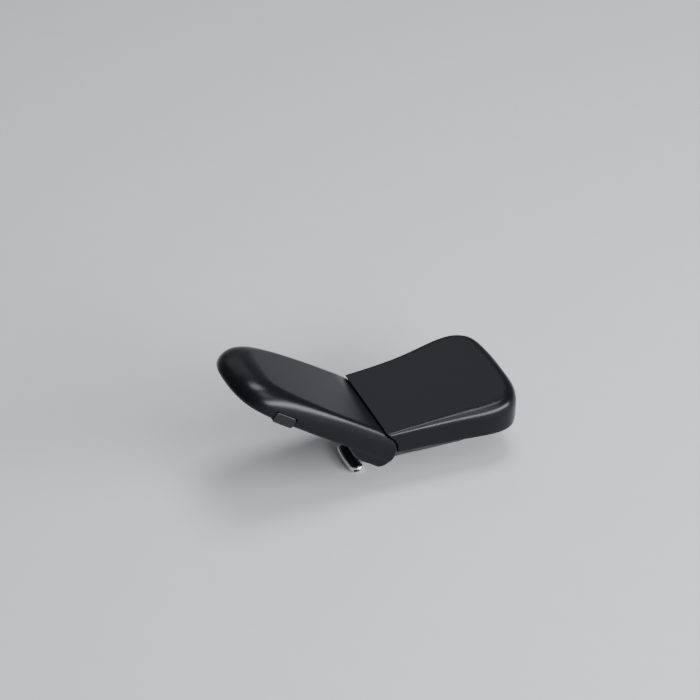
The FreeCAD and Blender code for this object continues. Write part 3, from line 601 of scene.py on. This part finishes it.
def make_arms():
    """Two curved arms from the pivot eyes down to the paddle, joined by a bridge, and the plunger's tail."""
    eye = arc_points(ARM_EYE, 225, 440, 24, (PIVOT_PLACE, PIVOT_LEVEL))
    side = list(ARM_UNDER) + eye + list(ARM_OVER)
    pin = arc_points(PIN_BORE, 0, 351, 40, (PIVOT_PLACE, PIVOT_LEVEL))
    pieces = []
    for number, place in enumerate(ARM_PLACES):
        arm = side_prism("lever_arm_%d" % number, side, place - ARM_HALF, place + ARM_HALF)
        carve(arm, side_prism("arm_bore", pin, place - 5, place + 5))
        bevelled(arm, 0.45, 3, 40)
        pieces.append(arm)
    bridge = block("lever_bridge", BRIDGE_LOW, BRIDGE_HIGH)
    bevelled(bridge, 0.5, 3)
    corner, *end = TAIL_SIDE
    outline = [(-corner[0], corner[1]), corner, *end, *[(-x, y) for x, y in end[::-1]]]
    tail = flat_prism("lever_tail", outline, PIVOT_LEVEL + 1.2, PIVOT_LEVEL + 3)
    bevelled(tail, 0.4, 2)
    return pieces + [bridge, tail]


# ---- Materials ----

COAT_ROUGHNESS = 0.05
LEAST_ROUGHNESS = 0.02
BROAD_SCALE = 45


def material(name, colour, roughness, grain, metallic=0.0, mottle=0.05, coat=0.0, rough_spread=0.05,
             stretch=(1, 1, 1), specular=0.5):
    """Principled surface with grain bump, uneven roughness and slight colour variation.

    grain is (kind, cells per metre, strength, depth in metres)."""
    made = bpy.data.materials.new(name)
    made.use_nodes = True
    tree = made.node_tree
    shader = tree.nodes["Principled BSDF"]
    shader.inputs["Metallic"].default_value = metallic
    shader.inputs["Coat Weight"].default_value = coat
    shader.inputs["Coat Roughness"].default_value = COAT_ROUGHNESS
    shader.inputs["Specular IOR Level"].default_value = specular
    coordinates = tree.nodes.new("ShaderNodeTexCoord")
    mapping = tree.nodes.new("ShaderNodeMapping")
    mapping.inputs["Scale"].default_value = stretch
    tree.links.new(coordinates.outputs["Object"], mapping.inputs["Vector"])
    broad = tree.nodes.new("ShaderNodeTexNoise")
    broad.inputs["Scale"].default_value = BROAD_SCALE
    broad.inputs["Detail"].default_value = 4
    tree.links.new(mapping.outputs["Vector"], broad.inputs["Vector"])
    tint = tree.nodes.new("ShaderNodeValToRGB")
    tint.color_ramp.elements[0].position = 0.3
    tint.color_ramp.elements[1].position = 0.7
    for element, share in zip(tint.color_ramp.elements, (1 - mottle, 1 + mottle)):
        element.color = (*[min(channel * share, 1) for channel in colour], 1)
    tree.links.new(broad.outputs["Fac"], tint.inputs["Fac"])
    tree.links.new(tint.outputs["Color"], shader.inputs["Base Color"])
    spread = tree.nodes.new("ShaderNodeMapRange")
    spread.inputs["To Min"].default_value = max(roughness - rough_spread, LEAST_ROUGHNESS)
    spread.inputs["To Max"].default_value = roughness + rough_spread
    tree.links.new(broad.outputs["Fac"], spread.inputs["Value"])
    tree.links.new(spread.outputs["Result"], shader.inputs["Roughness"])
    kind, scale, strength, depth = grain
    if kind == "pebble":
        cells = tree.nodes.new("ShaderNodeTexVoronoi")
        cells.feature = "SMOOTH_F1"
        height = cells.outputs["Distance"]
    else:
        cells = tree.nodes.new("ShaderNodeTexNoise")
        cells.inputs["Detail"].default_value = 3
        height = cells.outputs["Fac"]
    cells.inputs["Scale"].default_value = scale
    tree.links.new(mapping.outputs["Vector"], cells.inputs["Vector"])
    relief = tree.nodes.new("ShaderNodeBump")
    relief.inputs["Strength"].default_value = strength
    relief.inputs["Distance"].default_value = depth
    tree.links.new(height, relief.inputs["Height"])
    tree.links.new(relief.outputs["Normal"], shader.inputs["Normal"])
    return made


def paint(piece, made):
    piece.data.materials.clear()
    piece.data.materials.append(made)


MATERIALS = {
    "pad_skin": material("soft_touch_skin", (0.0024, 0.0027, 0.0034), 0.29, ("pebble", 1500, 0.06, 0.0001),
                         mottle=0.06, rough_spread=0.015, specular=0.18),
    "black_nylon": material("moulded_nylon", (0.017, 0.018, 0.020), 0.5, ("noise", 2200, 0.25, 0.0001),
                            mottle=0.08),
    "acetal": material("natural_acetal", (0.72, 0.72, 0.68), 0.38, ("noise", 900, 0.1, 0.0001),
                       mottle=0.03),
    "bumper_rubber": material("bumper_rubber", (0.018, 0.018, 0.019), 0.8, ("noise", 1800, 0.3, 0.0001),
                              mottle=0.1),
    "black_alloy": material("powder_coat", (0.022, 0.023, 0.025), 0.48, ("noise", 700, 0.3, 0.00015),
                            mottle=0.06),
    "steel": material("zinc_steel", (0.56, 0.57, 0.58), 0.3, ("noise", 1400, 0.12, 0.00008),
                      metallic=1.0, mottle=0.08, stretch=(0.15, 1, 1)),
    "button_plastic": material("satin_button", (0.005, 0.0055, 0.0065), 0.3, ("noise", 2500, 0.12, 0.0001),
                               specular=0.3),
    "gloss_black": material("piano_black", (0.006, 0.006, 0.007), 0.09, ("noise", 60, 0.02, 0.0002),
                            coat=0.6, rough_spread=0.02),
    "satin_arm": material("satin_arm", (0.035, 0.036, 0.039), 0.3, ("noise", 1600, 0.1, 0.0001)),
    "chrome": material("bright_chrome", (0.86, 0.87, 0.89), 0.07, ("noise", 80, 0.02, 0.0002),
                       metallic=1.0, mottle=0.02, rough_spread=0.02),
}


def finish_piece(piece, body, look, replaced=()):
    paint(piece, MATERIALS[look])
    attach(piece, body)
    if replaced:
        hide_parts(*replaced)


def build_object():
    slots = {entry["node"]: entry["material_slot"] for entry in frame["record"]["subparts"]}
    for node, item in NODES.items():
        paint(item, MATERIALS[slots[node]])
    rear = make_rear_pad()
    finish_piece(rear, "rear_section", "pad_skin", ("rear_pad",))
    front = make_front_pad()
    finish_piece(front, "front_section", "pad_skin", ("front_pad",))
    tab_face, *tab_rest = make_button()
    finish_piece(tab_face, "button", "button_plastic", ("tilt_button",))
    for piece in tab_rest:
        finish_piece(piece, "button", "button_plastic")
    rim, finger_pad, inset = make_paddle()
    finish_piece(rim, "lever", "chrome", ("lever_trim",))
    finish_piece(finger_pad, "lever", "gloss_black", ("lever_arm",))
    finish_piece(inset, "lever", "gloss_black")
    for piece in make_arms():
        finish_piece(piece, "lever", "satin_arm")


# ---- Stage, light and camera ----

# Metres, and watts for the lights: name, direction, distance, size across and up, power.

FLOOR_DROP = 0.0002
FLOOR_SIZE = 12
FLOOR_COLOUR = (0.44, 0.44, 0.44)
WORLD_COLOUR = (0.92, 0.96, 1.0, 1)
WORLD_STRENGTH = 0.24
LIGHT_COLOUR = (0.93, 0.965, 1)
LIGHT_TARGET = Vector((0, -0.03, 0.05))
LIGHTS = (("side_strip", (0.76, 0.52, 0.36), 2.5, (3.0, 0.7), 190),
          ("overhead", (-0.09, 0.17, 0.98), 2.0, (0.8, 1.0), 36),
          ("upper_side", (0.47, 0.26, 0.84), 2.0, (0.9, 0.8), 12),
          ("far_side", (-0.76, 0.08, 0.62), 2.4, (1.8, 1.0), 5))
VIEW_AZIMUTH = math.radians(68)
VIEW_ELEVATION = math.radians(34)
VIEW_DISTANCE = 2.5
VIEW_LENS = 154.3
AIM_RIGHT = -0.0133
AIM_UP = 0.0458


def make_camera():
    turn, rise = VIEW_AZIMUTH, VIEW_ELEVATION
    back = Vector((math.sin(turn) * math.cos(rise), -math.cos(turn) * math.cos(rise), math.sin(rise)))
    right = Vector((math.cos(turn), math.sin(turn), 0))
    up = back.cross(right)
    gap_middle = Vector((0, GAP_PLACE, TOP_LEVEL)) * MM
    target = gap_middle + right * AIM_RIGHT + up * AIM_UP
    data = bpy.data.cameras.new("camera")
    data.lens = VIEW_LENS
    data.sensor_width = 36
    data.clip_end = 20
    camera = bpy.data.objects.new("camera", data)
    camera.location = target + back * VIEW_DISTANCE
    camera.rotation_mode = "QUATERNION"
    camera.rotation_quaternion = (-back).to_track_quat("-Z", "Y")
    bpy.context.scene.collection.objects.link(camera)
    bpy.context.scene.camera = camera


def make_light(name, towards, distance, size, power):
    """A soft box that faces the object from the given direction."""
    data = bpy.data.lights.new(name, "AREA")
    data.shape = "RECTANGLE"
    data.size, data.size_y = size
    data.energy = power
    data.color = LIGHT_COLOUR
    light = bpy.data.objects.new(name, data)
    light.location = LIGHT_TARGET + Vector(towards) * distance
    light.rotation_mode = "QUATERNION"
    light.rotation_quaternion = (LIGHT_TARGET - light.location).to_track_quat("-Z", "Y")
    bpy.context.scene.collection.objects.link(light)


def make_stage():
    level = CAD_BOX[0].z - FLOOR_DROP
    bpy.ops.mesh.primitive_plane_add(size=FLOOR_SIZE, location=(0, 0, level))
    floor = bpy.context.object
    floor.name = "floor"
    paint(floor, material("pale_floor", FLOOR_COLOUR, 0.75, ("noise", 30, 0.02, 0.0005), mottle=0.01))
    world = bpy.data.worlds.new("studio")
    world.use_nodes = True
    background = world.node_tree.nodes["Background"]
    background.inputs["Color"].default_value = WORLD_COLOUR
    background.inputs["Strength"].default_value = WORLD_STRENGTH
    bpy.context.scene.world = world
    for name, towards, distance, size, power in LIGHTS:
        make_light(name, towards, distance, size, power)


build_object()
make_stage()
make_camera()
